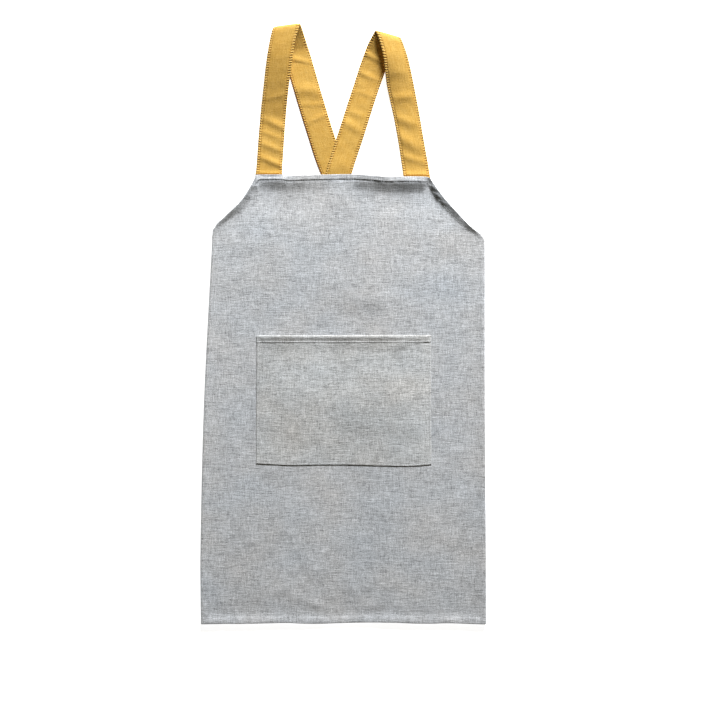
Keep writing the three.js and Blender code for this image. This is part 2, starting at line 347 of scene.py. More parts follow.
def bodyColumns():  # from the middle out: bib, armhole, fold, wing, and the wing's hem
    even = np.linspace(0, 1, body["bibColumns"] + 1)[1:]
    bib = even - body["bibCrowd"] * np.sin(2 * math.pi * even)  # closer at the middle and the corner
    armhole = np.linspace(0, 1, body["armholeColumns"] + 1)[1:] ** body["armholeCrowd"]
    turn = np.linspace(0, math.pi, body["foldColumns"] + 1)[1:]
    wing = np.linspace(0, 1, body["wingColumns"] + 1)[1:-1]
    hem = edgeSpaces(body["armholeThick"] / 2, body["seam"], body["wingReach"])[::-1]
    columns = (bib, armhole, turn, wing, hem)
    part = np.repeat(np.arange(5), [len(column) for column in columns])
    share = np.concatenate(columns)
    angle = np.where(part == 2, share, np.where(part > 2, math.pi, 0))
    return part, share, angle


def spreadColumns(side, part, share, height):  # places out along the front and back along the wing
    start = foldSide(side, height)
    width = body["halfCut"] - start - math.pi * foldRadius(height)
    armhole = body["bibHalf"] + (start - body["bibHalf"]) * share
    front = np.where(part == 0, body["bibHalf"] * share, np.where(part == 1, armhole, start))
    wing = (width - body["wingReach"]) * share
    return front, np.where(part == 3, wing, np.where(part == 4, width - share, 0))


def layHalf(side, outward):  # half of the cloth, without its curled edges
    rim = body["armholeThick"] / 2
    part, share, angle = bodyColumns()
    front, back = spreadColumns(side, part, share, np.full(len(part), bibEnd))
    along = front + foldRadius(bibEnd) * angle + back
    top = topEdge(outward * along)
    slope = np.gradient(top, along)
    lean = np.convolve(np.pad(np.sqrt(1 + slope ** 2), 2, mode='edge'), np.ones(5) / 5, mode='valid')
    lean = np.minimum(lean, body["steepest"])
    front, back = spreadColumns(side, part, share, np.zeros(len(part)))
    plan = outward * (front + foldRadius(0.0) * np.sin(angle).clip(0) - back)
    bottom = curved(plan, body["hemPlaces"], body["hemHeights"]) + angle / math.pi  # wings stay hidden
    low = bottom + edgeSpaces(rim, body["hemSeam"], body["hemReach"])[:, None]
    high = top - edgeSpaces(rim, body["seam"], body["hemReach"])[::-1, None] * lean
    rise = np.linspace(0, 1, body["rows"] + 2)[1:-1, None]
    height = np.concatenate([low, low[-1] + (high[0] - low[-1]) * rise, high])
    front, back = spreadColumns(side, part, share, height)
    onFront = (part < 2) & np.ones_like(height, bool)
    radius = foldRadius(height)
    x = outward * (front + radius * np.sin(angle).clip(0) ** body["foldSquare"] - back)
    turned = np.sign(np.cos(angle)) * np.abs(np.cos(angle)) ** body["foldSquare"]
    z = np.where(onFront, frontTop(outward * front, height), radius * (1 + turned))
    cloth = np.stack([outward * (front + radius * angle + back), height], axis=2)
    return dict(point=np.stack([x, height, z], axis=2), cloth=cloth, onFront=onFront,
                fromTop=(top - height) / lean, fromHem=height - bottom,
                fromBack=np.where(part == 4, share, farAway) + 0 * height)


def makeBody():
    left, right = layHalf("foldLeft", -1), layHalf("foldRight", 1)
    whole = {}
    for key in left:  # the middle column lies between the halves
        centre = right[key][:, :1]
        if key in ("point", "cloth"):
            centre = (left[key][:, :1] + centre) / 2
        whole[key] = np.concatenate([left[key][:, ::-1], centre, right[key]], axis=1)
    point, cloth, onFront, fromTop, fromHem, fromBack = whole.values()
    x, height = point[..., 0], point[..., 1]
    seam, hemSeam = body["seam"], body["hemSeam"]

    # The bib's hem lies on the strap ends
    pastLeft, pastRight = smoothStep(*body["cornerLeft"], -x), smoothStep(*body["cornerRight"], x)
    onBib = 1 - np.where(x < 0, pastLeft, pastRight)
    wander = 1 + body["wander"] * waves(x, 0 * x, *body["bibWander"])
    risen = curved(x, body["risenPlaces"], body["risen"]) * wander
    roll = body["rollLeft"] * smoothStep(*body["rollPlaces"], -x)
    roll = roll + body["rollRight"] * smoothStep(*body["rollPlaces"], x)
    roll = roll - body["rollBack"] * hump(x, body["rollBackMiddle"], body["rollBackHalf"])
    roll = roll * (1 - smoothStep(0, seam, fromTop))
    risen = risen * (curved(fromTop, body["risenFrom"], body["risenShare"]) - roll)

    # The armholes and the hem curl up a little
    toFold = foldAt(x, height) - np.abs(x)
    narrow = body["curlLeast"] + (1 - body["curlLeast"]) * smoothStep(*body["curlEnd"], toFold)
    reached = fromTop / narrow
    curlLeft = body["armholeLeft"] * curved(reached, body["curlLeftFrom"], body["curlLeft"])
    curlRight = body["armholeRight"] * curved(reached, body["curlRightFrom"], body["curlRight"])
    wander = 1 + body["wander"] * waves(height, 0 * x, *body["armholeWander"])
    curl = narrow * np.where(x > 0, curlRight, curlLeft) * wander
    edge = onBib * risen + (1 - onBib) * curl
    edge += levelled(fromHem, body["hemFrom"], body["hemRoll"])
    nearEdge = 1 - smoothStep(*body["puckerReach"], fromTop)
    edge += nearEdge * lieOf(x, height, bodyPuckers)
    edge = edge * onFront * smoothStep(*body["foldQuiet"], toFold)

    # Seams sink into the cloth, and pucker it
    pucker = waves(cloth[..., 0], 0 * x, *body["puckers"])
    seamWide = np.where(fromTop < seam, body["seamAbove"], body["seamBelow"])
    shallow = body["armholeSink"]
    topSink = hump(fromTop, seam, seamWide) * (shallow + (1 - shallow) * onBib * onFront)
    hemSink = body["hemSink"] * hump(fromHem, hemSeam, body["hemSeamWide"])
    wingSink = body["wingSink"] * hump(fromBack, seam, body["wingSeamWide"])
    slit = hump(fromTop, body["slit"], body["slitWide"]) * smoothStep(*body["slitStart"], x)
    slit = slit * (1 - smoothStep(*body["slitStop"], x))
    sunk = np.maximum.reduce([topSink, body["slitSink"] * slit * onFront, hemSink, wingSink])
    band = (fromTop < seam) * (1 - fromTop / seam) + (fromHem < hemSeam) * (1 - fromHem / hemSeam)
    edge += onFront * body["pucker"] * pucker * band
    edge -= sunk * (body["sink"] + body["sinkUneven"] * pucker)
    outer = point + gridNormals(point) * edge[..., None]
    outer[..., 2] = np.maximum(outer[..., 2], np.where(onFront, body["thick"], 0))

    # Two layers in the hems, thin at the very edge
    start, stop = body["hemStep"]
    hemmed = [1 - smoothStep(line + start, line + stop, away)
              for line, away in ((seam, fromTop), (hemSeam, fromHem), (seam, fromBack))]
    doubled = (body["hemThick"] - body["thick"]) * np.maximum.reduce(hemmed)
    depth = body["thick"] + doubled - body["sinkThin"] * sunk
    inside = np.minimum.reduce([fromTop, fromHem, fromBack]) - body["armholeThick"] / 2
    depth = np.minimum(depth, body["armholeThick"] + body["rimSlope"] * np.maximum(inside, 0))
    inner = outer - gridNormals(point) * depth[..., None]
    inner[..., 2] = np.where(onFront, np.maximum(inner[..., 2], 0), inner[..., 2])
    # How deep the seams and the slit sink is also painted into the colour as shade
    piece = clothSolid("bodyCanvas", outer, inner, cloth, sunk)

    out = gridNormals(outer)
    last = -1 - seamStep
    seams = [(outer[seamStep], out[seamStep]), (outer[last], out[last]),
             (outer[:, seamStep], out[:, seamStep]), (outer[:, last], out[:, last])]
    return piece, sewSeams("bodyStitching", seams, stitchShape["proud"])


bodyCanvas, bodyStitching = makeBody()

# Pocket: a patch with sewn sides and a hemmed mouth
pocket = {
    "top": 521.0,
    "lowPlaces": (-156, -92, -41, 4, 76, 112, 139, 159),  # the lower edge wanders a little
    "lowHeights": (289.5, 286.4, 287.3, 287.3, 285.5, 284.8, 286, 288),
    "topHalf": 156.7, "bottomHalf": 157.9,
    "thick": 1.1, "mouthThick": 1.9, "mouthHem": (12, 14.5),
    "seam": 3.4, "mouthSeam": 12,  # stitch lines in from the edges
    "sewn": 0.2,  # air between pocket and front
    "slack": 6.0, "slackFrom": (0, 0.55),  # how far the mouth stands open, and where that starts
    "flareFrom": (0, 3.2, 11.5, 13, 32), "flare": (2.0, 2.35, 1.35, 1.3, 0), "flareSide": (2, 48),
    "free": (2, 18), "swell": 0.3,  # it swells away from the sewn edges
    "sewnFrom": (0, 1.8, 3.8, 8), "sewnRise": (-0.35, 0.05, -0.12, 0),
    "lipFrom": (0, 3.0, 11.6, 13, 17), "lipRise": (0.0, 0.4, -0.35, 0.12, 0),
    "sewnEnd": (1, 9), "lipEnd": (0, 30), "thinnest": 0.6,
    # painted shade along the sewn seams and the mouth's seam, and how wide it is
    "seamShade": 0.2, "seamWide": 0.8, "mouthSeamShade": 0.25, "mouthSeamWide": 1.0,
    "ripple": 0.13, "ripples": (41, 8, 30, 90),
    "pucker": 0.25, "puckers": (31, 7, 9, 24),
    "clothPlace": (620, -130),  # cut from another part of the cloth
    "columns": 96, "rows": 70, "reach": 14, "mouthReach": 20,
}

# Its soft folds, and the puckers at the ends of its mouth, given as for the body
pocketLie = [
    (112, 507, 28, 30, 10, 1.0),
    (-70, 430, -35, 60, 22, 0.5),
    (-36, 492, -50, 16, 4, 0.4),
]
mouthPuckers = [
    (-147, 517, -15, 8, 1.6, 0.8),
    (-150, 510, -5, 5, 1.5, -0.6),
    (149, 518, 12, 5, 1.5, 0.7),
    (149, 506, 0, 5, 1.5, -0.7),
]


def makePocket():
    rim, reach, mouthReach = pocket["thick"] / 2, pocket["reach"], pocket["mouthReach"]
    tall, wide = pocket["top"] - min(pocket["lowHeights"]), 2 * pocket["bottomHalf"]
    side = edgeSpaces(rim, pocket["seam"], reach)
    middle = np.linspace(reach, wide - reach, pocket["columns"])[1:-1]
    across = 2 * np.concatenate([side, middle, wide - side[::-1]]) / wide - 1
    mouth = edgeSpaces(pocket["mouthThick"] / 2, pocket["mouthSeam"], mouthReach)
    middle = np.linspace(reach, tall - mouthReach, pocket["rows"])[1:-1]
    across, up = np.meshgrid(across, np.concatenate([side, middle, tall - mouth[::-1]]) / tall)
    half = pocket["bottomHalf"] + (pocket["topHalf"] - pocket["bottomHalf"]) * up
    x = pocketMiddle + across * half
    low = curved(x, pocket["lowPlaces"], pocket["lowHeights"])
    height = low + (pocket["top"] - low) * up
    fromSide, fromBottom, fromTop = (1 - np.abs(across)) * half, height - low, pocket["top"] - height
    fromSewn = np.minimum(fromSide, fromBottom)

    # The pocket's back lies on the front and leaves it towards the mouth
    free = smoothStep(*pocket["free"], fromSewn)
    opened = pocket["slack"] * (1 - across ** 4) * smoothStep(*pocket["slackFrom"], up)
    lie = pocket["ripple"] * waves(x, height, *pocket["ripples"]) + lieOf(x, height, pocketLie)
    swell = pocket["swell"] * free + free * lie
    flare = levelled(fromTop, pocket["flareFrom"], pocket["flare"])
    flare = flare * smoothStep(*pocket["flareSide"], fromSide)
    under = frontTop(x, height) + pocket["sewn"] + opened + np.maximum(swell, 0) + flare
    hemmed = 1 - smoothStep(*pocket["mouthHem"], fromTop)
    thick = pocket["thick"] + (pocket["mouthThick"] - pocket["thick"]) * hemmed
    pucker = 1 + pocket["pucker"] * waves(x, height, *pocket["puckers"])
    sewn = levelled(fromSewn, pocket["sewnFrom"], pocket["sewnRise"]) * pucker
    lip = levelled(fromTop, pocket["lipFrom"], pocket["lipRise"]) * pucker
    sewn, lip = sewn * smoothStep(*pocket["sewnEnd"], fromTop), lip * smoothStep(*pocket["lipEnd"], fromSide)
    relief = sewn + lip + lieOf(x, height, mouthPuckers)
    outer = np.stack([x, height, under + np.maximum(thick + relief, pocket["thinnest"])], axis=2)
    inner = np.stack([x, height, under], axis=2)
    # Painted shade along the seams and the mouth's seam, for the colour only
    sunk = pocket["seamShade"] * hump(fromSewn, pocket["seam"], pocket["seamWide"])
    mouthShade = pocket["mouthSeamShade"] * hump(fromTop, pocket["mouthSeam"], pocket["mouthSeamWide"])
    sunk = np.maximum(sunk, mouthShade)
    weave = np.stack([x, height], axis=2) + pocket["clothPlace"]
    piece = clothSolid("pocketCanvas", outer, inner, weave, sunk)
    out = gridNormals(outer)
    first, last = seamStep, -1 - seamStep
    seams = [(outer[first:, first], out[first:, first]), (outer[first:, last], out[first:, last]),
             (outer[first, first:last], out[first, first:last]), (outer[last], out[last])]
    return piece, sewSeams("pocketStitching", seams, stitchShape["proud"])


pocketCanvas, pocketStitching = makePocket()

# Straps: canvas folded into four, from the end under the bib over the shoulder fold to the far wing
strapCut = {
    "wide": 47, "thick": 2.6, "rimHalf": 0.3,  # folded cloth in the middle, and half of it at the very edge
    "rounded": 1.9,  # width of the rounded margins
    "spaces": (0.25, 0.6, 1.1, 1.7, 2.3, 3.0, 3.7, 4.4, 5.3, 6.6, 8.6),  # columns in from an edge
    "seamColumn": 6, "insideColumns": 9, "rowsPerStitch": 7, "lengthSteps": 4000,
    "groove": 0.9, "grooveReach": (4.0, 6.5),  # each stitch pulls the margin down
    "pull": 0.35, "pullReach": 2.5,  # and in
    "seamGroove": 0.7, "seamWide": 1.1, "proud": 0.3,
    # Painted shade in the stitch holes and along the seam, painted highlight on the ridges between the holes,
    # painted shade where a strap goes under the bib and on a back leg's edge
    "stitchShade": 1.35, "seamLineShade": 0.2, "ridgeHighlight": 0.42, "ridgeReach": (3.4, 5.2),
    "entryShade": 0.9, "entryWide": 1.5, "shadedEdge": (2.0, 2.8), "shadedEdgeFrom": (40, 90),
    "foldCrisp": (4, 14), "turnOver": 6,  # beside the shoulder fold
    "margin": (-3, 5), "endCalm": 20,  # where creases fade at the edges and the ends
    "ripple": 0.13, "ripples": (8, 14, 40), "weaveApart": 40,
}

# Rows of the two edges, as seen on the front: x, height, z
leftRun = [
    ((-160, 792, 3.2), (-113, 791, 3.6)), ((-158, 807, 3.8), (-110, 807, 4.2)),
    ((-156.3, 817, 1.9), (-109.4, 817, 1.9)), ((-155.3, 828, 1.4), (-108.9, 828, 1.4)),
    ((-152.2, 872, 1.3), (-106, 872, 1.3)),
    ((-149.2, 908, 1.5), (-103.4, 908, 1.5)), ((-146.4, 935, 5.4), (-101, 935, 5.4)),
    ((-143.4, 960, 10.2), (-98.2, 960, 10.4)), ((-138.6, 1002, 17.8), (-93, 1002, 18.0)),
    ((-134.9, 1028, 21.6), (-89.4, 1028, 21.2)), ((-131.5, 1048, 22.6), (-85.2, 1052, 22.4)),
    ((-126.4, 1069.4, 22.4), (-78.2, 1076.0, 22.2)), ((-124.4, 1073, 20.0), (-77, 1079.6, 19.8)),
    ((-122, 1066, 16.8), (-75, 1075.4, 17.2)), ((-115, 1050, 8.6), (-68.8, 1057, 8.8)),
    ((-110.6, 1038, 4.2), (-63.8, 1041, 3.8)), ((-107.6, 1027, 1.8), (-59, 1027, 1.6)),
    ((-91.2, 969.5, 1.3), (-42.4, 969.5, 1.3)), ((-64.8, 883, 1.3), (-16.2, 883, 1.3)),
    ((-41.8, 815, 1.3), (8, 815, 1.3)), ((-2, 737, 1.3), (48, 737, 1.3)),
    ((26, 679, 3.6), (76, 679, 3.6)), ((40, 650, 4.2), (90, 650, 4.2)), ((53, 621, 4.2), (103, 621, 4.2)),
]
rightRun = [
    ((114, 790, 4.6), (160.6, 790, 4.2)), ((109, 806, 5.4), (156.6, 806, 5.0)),
    ((107.4, 817, 2.4), (154.9, 817, 2.2)), ((105.7, 828, 1.4), (153.2, 828, 1.4)),
    ((99, 872, 1.3), (145.4, 872, 1.3)), ((90.6, 917, 1.4), (137.8, 917, 1.5)),
    ((83.6, 948, 3.8), (132, 948, 2.6)), ((78.3, 974, 8.4), (127, 974, 4.2)),
    ((75.4, 1000, 16.6), (121.6, 1000, 6.6)), ((73.4, 1019, 21.0), (116.8, 1020, 8.2)),
    ((68.6, 1040, 22.4), (112.4, 1034, 8.8)), ((61.4, 1062.4, 22.2), (105.8, 1051, 9.0)),
    ((58.2, 1066.8, 19.2), (102.8, 1055.4, 7.0)), ((54.2, 1060.6, 15.6), (98.4, 1048.4, 4.4)),
    ((45.4, 1044.5, 9.4), (91.8, 1035, 3.2)), ((41.0, 1034.5, 6.4), (88.2, 1028.4, 2.8)),
    ((36.9, 1023.5, 4.4), (85.2, 1022, 2.6)), ((30, 1004, 3.0), (79, 1004, 2.2)),
    ((18.9, 969.5, 1.9), (66.6, 969.5, 1.6)), ((4.6, 926, 2.2), (52.2, 926, 2.2)),
    ((-9.2, 883, 4.1), (38.8, 883, 4.1)), ((-30.8, 815, 4.1), (17, 815, 4.1)),
    ((-43, 764, 4.1), (5.4, 764, 4.1)), ((-56.7, 692, 4.2), (-8, 692, 4.2)),
    ((-64, 652, 4.2), (-16, 652, 4.2)), ((-69, 621, 4.2), (-21, 621, 4.2)),
]

# Creases across the straps: which leg, height at the strap's middle, lean in degrees, half width, rise,
# and how much of it is left at the strap's two edges
leftCreases = [
    ("front", 903, -23, 7, 1.9, 0.2, 0.9),
    ("front", 881, -20, 5, 0.9, 0.5, 0.5),
    ("front", 859.5, -22, 6, 1.6, 0.3, 0.8),
    ("front", 834.5, -22, 6, 2.5, 0.2, 0.8),
    ("front", 813, -2, 4, 0.4, 1, 1),
    ("front", 949, 14, 5, 0.5, 0.6, 0.6),
    ("back", 1016, -12, 5.5, 1.5, 1, 0.4),
    ("back", 961, -6, 12, 2.4, 0.7, 0.8),
    ("back", 935, 4, 5, 0.7, 0.4, 1),
    ("back", 910, 20, 5, 0.9, 0.2, 1.3),
]
rightCreases = [
    ("front", 992, 4, 8, 0.6, 0.2, 0.4),
    ("front", 949, 6, 8, 2.0, 0.2, 0.2),
    ("front", 905, -19, 10, 2.3, 0.5, 0.4),
    ("front", 866, -24, 13, 2.5, 0.7, 0.3),
    ("front", 837, -17, 7, 1.5, 0.5, 0.8),
    ("back", 1018, -24, 5, 2.0, 0.9, 0.5),
    ("back", 986, -20, 5, 1.1, 0.8, 0.5),
    ("back", 955, -16, 5, 0.7, 0.8, 0.3),
    ("back", 918, -14, 6, 0.9, 0.6, 0.4),
    ("back", 895, -25, 8, 1.4, 1, 0.2),
    ("back", 822, -6, 24, 3.0, 0.6, 0.7),
]

# Each strap: its run and creases, the arch of its front leg, how still the margins of that leg are,
# the bib's edge where it goes under, and the strength of the painted shade on its back leg's edge
leftStrap = {
    "run": leftRun, "creases": leftCreases, "crownHeights": (806, 1045), "crown": (0, 0),
    "still": (-3, 5), "entry": 810.5, "dark": 1.4, "seed": 3,
}
rightStrap = {
    "run": rightRun, "creases": rightCreases,
    "crownHeights": (806, 900, 960, 1000, 1045), "crown": (0.8, 1.0, 1.2, 1.2, 0.6),
    "still": (0.5, 8), "entry": 808, "dark": 0, "seed": 5,
}


def throughPoints(points, at):  # smooth curve through the points, one step for each
    ends = np.vstack([2 * points[0] - points[1], points, 2 * points[-1] - points[-2]])
    first = np.clip(at.astype(int), 0, len(points) - 2)
    t = (at - first)[:, None]
    a, b, c, d = (ends[first + k] for k in range(4))
    before, here, after = (np.sqrt(np.linalg.norm(end - start, axis=1))[:, None]
                           for start, end in ((a, b), (b, c), (c, d)))
    leave = ((b - a) / before - (c - a) / (before + here) + (c - b) / here) * here
    reach = ((c - b) / here - (d - b) / (here + after) + (d - c) / after) * here
    return (b * (1 + 2 * t) * (1 - t) ** 2 + c * t * t * (3 - 2 * t)
            + leave * t * (1 - t) ** 2 + reach * t * t * (t - 1))


def makeStrap(name, strap):
    left, right = (np.array([row[k] for row in strap["run"]], float) for k in (0, 1))
    fine = np.linspace(0, len(left) - 1, strapCut["lengthSteps"])
    middle = (throughPoints(left, fine) + throughPoints(right, fine)) / 2
    length = lengthAlong(middle)
    rows = int(length[-1] / stitchShape["pitch"] * strapCut["rowsPerStitch"])
    along = np.linspace(0, length[-1], rows)[:, None]
    at = np.interp(along[:, 0], length, fine)
    left, right = throughPoints(left, at), throughPoints(right, at)
    wide = np.linalg.norm(right - left, axis=1)[:, None]
    margin, full = np.array(strapCut["spaces"]), strapCut["wide"]
    inside = np.linspace(margin[-1], full - margin[-1], strapCut["insideColumns"])[1:-1]
    place = np.concatenate([margin, inside, full - margin[::-1]]) / full
    point = left[:, None] + (right - left)[:, None] * place[:, None]
    fromEdge = np.minimum(place, 1 - place) * wide
    centre = (left + right) / 2
    fromFold = along - along[centre[:, 1].argmax()]  # below zero on the front leg

    # Creases and arch
    relief = strapCut["ripple"] * waves(point[..., 0], point[..., 1], strap["seed"], *strapCut["ripples"])
    for leg, height, lean, width, rise, atLeft, atRight in strap["creases"]:
        onLeg = fromFold < 0 if leg == "front" else fromFold > 0
        up = point[..., 1] - height - math.tan(math.radians(lean)) * (point[..., 0] - centre[:, :1])
        amount = np.interp(place, (0, 0.5, 1), (atLeft, 1, atRight))
        relief += rise * amount * np.exp(-(up / width) ** 2) * onLeg
    arch = levelled(point[..., 1], strap["crownHeights"], strap["crown"]) * (fromFold < 0)
    relief += arch * (1 - (2 * place - 1) ** 2)
    relief *= smoothStep(*strapCut["foldCrisp"], np.abs(fromFold))
    frontFade, backFade = (smoothStep(*reach, fromEdge) for reach in (strap["still"], strapCut["margin"]))
    relief *= np.where(fromFold < 0, frontFade, backFade)
    relief *= smoothStep(0, strapCut["endCalm"], np.minimum(along, along[-1] - along))
    point[..., 2] = np.maximum(point[..., 2] + relief, strapCut["thick"] / 2)

    # Margins: rounded down on the side that shows, and pulled in by every stitch
    up = gridNormals(point)
    swelled = strapCut["thick"] / 2 - strapCut["rimHalf"]
    bulge = np.sqrt(1 - (1 - np.minimum(fromEdge / strapCut["rounded"], 1)) ** 2)
    shown = -np.tanh(fromFold / strapCut["turnOver"])  # 1 on the front leg, -1 on the back leg
    point = point - up * (shown * swelled * (1 - bulge))[..., None]
    beat = (0.5 + 0.5 * np.cos(2 * math.pi * along / stitchShape["pitch"])) ** 2
    pulled = beat * (1 - smoothStep(*strapCut["grooveReach"], fromEdge))
    seamLine = hump(fromEdge, margin[strapCut["seamColumn"]], strapCut["seamWide"])
    sunk = strapCut["groove"] * np.maximum(pulled, strapCut["seamGroove"] * seamLine)
    half = strapCut["rimHalf"] + swelled * bulge - sunk * bulge
    inward = (left - right)[:, None] / wide[:, None] * np.sign(place - 0.5)[:, None]
    point = point + inward * (strapCut["pull"] * beat * hump(fromEdge, 0, strapCut["pullReach"]))[..., None]
    outer, inner = point + up * half[..., None], point - up * half[..., None]
    outer[..., 2], inner[..., 2] = np.maximum(outer[..., 2], 0), np.maximum(inner[..., 2], 0)

    # Tone: painted shade in the stitch holes, painted highlight on the ridges, painted shade on the back
    # leg's edge and where the strap goes under the bib
    ridge = strapCut["ridgeHighlight"] * (1 - smoothStep(*strapCut["ridgeReach"], fromEdge)) * (1 - beat)
    tone = np.maximum(strapCut["stitchShade"] * pulled, strapCut["seamLineShade"] * seamLine) - ridge
    # Painted shade along the back leg's edge, as on a side turned away from the light
    dark = 1 - smoothStep(*strapCut["shadedEdge"], place * full)
    shaded = strap["dark"] * dark * smoothStep(*strapCut["shadedEdgeFrom"], fromFold)
    entry = strapCut["entryShade"] * hump(point[..., 1], strap["entry"], strapCut["entryWide"])
    shaded = np.maximum(shaded, entry * (fromFold < 0))
    start = strapCut["weaveApart"] * strap["seed"]
    weave = np.stack([along + 0 * place + start, place * full + 0 * along], axis=2)
    piece = clothSolid(name, outer, inner, weave, tone * (1 - np.minimum(shaded, 1)) + shaded)
    seams = []
    for column in (strapCut["seamColumn"], -1 - strapCut["seamColumn"]):
        seams += [(outer[:, column], up[:, column]), (inner[::-1, column], -up[::-1, column])]
    return piece, sewSeams(name + "Stitching", seams, strapCut["proud"]), length[-1]


strapLeft, strapLeftStitching, leftLength = makeStrap("strapLeft", leftStrap)
strapRight, strapRightStitching, rightLength = makeStrap("strapRight", rightStrap)
print("straps", round(leftLength), "and", round(rightLength), "mm long")


# Materials
def node(tree, kind, values=None, **settings):
    made = tree.nodes.new(kind)
    column, row = divmod(len(tree.nodes) - 1, 5)  # laid out in columns of five
    made.location = (220 * column, -260 * row)
    for key, value in settings.items():
        setattr(made, key, value)
    for key, value in (values or {}).items():
        made.inputs[key].default_value = value
    return made


def mathNode(tree, operation, first, second):
    made = node(tree, 'ShaderNodeMath', operation=operation)
    for socket, value in zip(made.inputs, (first, second)):
        if isinstance(value, (int, float)):
            socket.default_value = value
        else:
            tree.links.new(value, socket)
    return made.outputs[0]


# Marled weave: pale and dark yarns in slubs along the weft and the warp, on the cloth's own UV in metres
grain = {
    # Slubs to the metre, steps between yarns, share in the tone
    "weft": (120, 2.37, 0.84), "longWeft": (34, 3.19, 0.84), "warp": (62, 2.71, 0.79),
    "fleck": (700, 800), "mottle": (26, 34), "warmth": (9, 11),  # patches to the metre, across and up
    "crossing": 0.5, "yarnRise": 0.3, "grooveShade": 0.28, "rough": 0.9, "slubRough": -0.25, "bump": 0.6,
}


def buildMarledWeave():
    tree = bpy.data.node_groups.new("marledWeave", 'ShaderNodeTree')
    link = tree.links.new
    for kind, names in (('Vector', ("Cloth",)), ('Color', ("Pale", "Dark")),
                        ('Float', ("Slub", "Fleck", "Mottle", "Yarns", "PaintedShade", "ShadeGamma", "Tint"))):
        for name in names:
            tree.interface.new_socket(name, in_out='INPUT', socket_type='NodeSocket' + kind)
    for name, kind in (("Color", 'Color'), ("Roughness", 'Float'), ("Height", 'Float')):
        tree.interface.new_socket(name, in_out='OUTPUT', socket_type='NodeSocket' + kind)
    cloth = node(tree, 'NodeGroupInput').outputs
    result = node(tree, 'NodeGroupOutput').inputs

    def plus(first, second):
        return mathNode(tree, 'ADD', first, second)

    def minus(first, second):
        return mathNode(tree, 'SUBTRACT', first, second)

    def times(first, second):
        return mathNode(tree, 'MULTIPLY', first, second)

    axes = node(tree, 'ShaderNodeSeparateXYZ')
    link(cloth["Cloth"], axes.inputs[0])
    counts = [times(axes.outputs[k], cloth["Yarns"]) for k in (0, 1)]
    yarns = [mathNode(tree, 'FLOOR', count, 0) for count in counts]
    swings = [mathNode(tree, 'SINE', times(count, math.pi), 0) for count in counts]
    over = times(*swings)  # weft over warp, and under

    def tones(first, second, detail):  # noise at a place given by two values, about zero
        at = node(tree, 'ShaderNodeCombineXYZ')
        link(first, at.inputs[0])
        link(second, at.inputs[1])
        noise = node(tree, 'ShaderNodeTexNoise', {"Scale": 1.0, "Detail": detail, "Roughness": 0.5},
                     noise_dimensions='2D')
        link(at.outputs[0], noise.inputs["Vector"])
        return minus(noise.outputs["Fac"], 0.5)

    def slubs(axis, cells, step, share):  # runs of tone along the yarns, each yarn with its own
        along, yarn = times(axes.outputs[axis], cells), times(yarns[1 - axis], step)
        first, second = (along, yarn) if axis == 0 else (yarn, along)
        return times(tones(first, second, 1), share)

    def patches(cells, detail):
        return tones(times(axes.outputs[0], cells[0]), times(axes.outputs[1], cells[1]), detail)

    weft = plus(slubs(0, *grain["weft"]), slubs(0, *grain["longWeft"]))
    warp = slubs(1, *grain["warp"])
    crossing = times(minus(weft, warp), over)
    slub = plus(plus(weft, warp), times(crossing, grain["crossing"]))
    tone = plus(times(slub, cloth["Slub"]), times(patches(grain["fleck"], 0), cloth["Fleck"]))
    tone = plus(tone, times(patches(grain["mottle"], 2), cloth["Mottle"]))
    colour = node(tree, 'ShaderNodeMix', data_type='RGBA', clamp_factor=True)
    link(plus(tone, 0.5), colour.inputs["Factor"])
    link(cloth["Dark"], colour.inputs[6])
    link(cloth["Pale"], colour.inputs[7])
    warmth = times(cloth["Tint"], patches(grain["warmth"], 3))
    tint = node(tree, 'ShaderNodeCombineXYZ', {"Y": 1.0})  # patches a little warmer or cooler
    link(plus(1.0, warmth), tint.inputs["X"])
    link(minus(1.0, warmth), tint.inputs["Z"])
    tinted = node(tree, 'ShaderNodeVectorMath', operation='MULTIPLY')
    link(colour.outputs[2], tinted.inputs[0])
    link(tint.outputs[0], tinted.inputs[1])
    sunk = node(tree, 'ShaderNodeGamma')  # painted shade: grooves are deeper in colour, not greyer
    link(tinted.outputs[0], sunk.inputs["Color"])
    link(plus(times(cloth["PaintedShade"], cloth["ShadeGamma"]), 1.0), sunk.inputs["Gamma"])
    # Painted shade also dims the colour, and painted highlight below zero lightens it
    shaded = node(tree, 'ShaderNodeVectorMath', operation='SCALE')
    link(sunk.outputs[0], shaded.inputs[0])
    link(minus(1.0, times(cloth["PaintedShade"], grain["grooveShade"])), shaded.inputs["Scale"])
    link(shaded.outputs[0], result["Color"])
    link(plus(times(slub, grain["slubRough"]), grain["rough"]), result["Roughness"])
    link(plus(times(over, grain["yarnRise"]), slub), result["Height"])
    return tree


marledWeave = buildMarledWeave()

# Capitalised ones are inputs of the weave
clothLooks = {
    "canvas": dict(Pale=(0.644, 0.665, 0.693, 1), Dark=(0.177, 0.182, 0.188, 1), Slub=0.86, Fleck=0.78,
                   Mottle=0.1, Yarns=1000.0, ShadeGamma=0.38, Tint=0.1, relief=0.0006, shine=0.12),
    "pocketCanvas": dict(Pale=(0.688, 0.705, 0.715, 1), Dark=(0.184, 0.187, 0.186, 1), Slub=0.88, Fleck=0.8,
                         Mottle=0.1, Yarns=1000.0, ShadeGamma=0.38, Tint=0.1, relief=0.0006, shine=0.12),
    "strapCanvas": dict(Pale=(0.60, 0.382, 0.096, 1), Dark=(0.356, 0.184, 0.016, 1), Slub=0.6, Fleck=0.6,
                        Mottle=0.15, Yarns=1300.0, ShadeGamma=0.6, Tint=0.06, relief=0.0004, shine=0.4),
}
threadLooks = {
    "greyThread": dict(pale=(0.60, 0.62, 0.64, 1), dark=(0.36, 0.365, 0.37, 1)),
    "mustardThread": dict(pale=(0.86, 0.60, 0.21, 1), dark=(0.58, 0.36, 0.08, 1)),
}
threadTwist = {"scale": 900.0, "detail": 2.0, "bump": 0.4, "relief": 0.0002, "rough": 0.65, "sheen": 0.05}


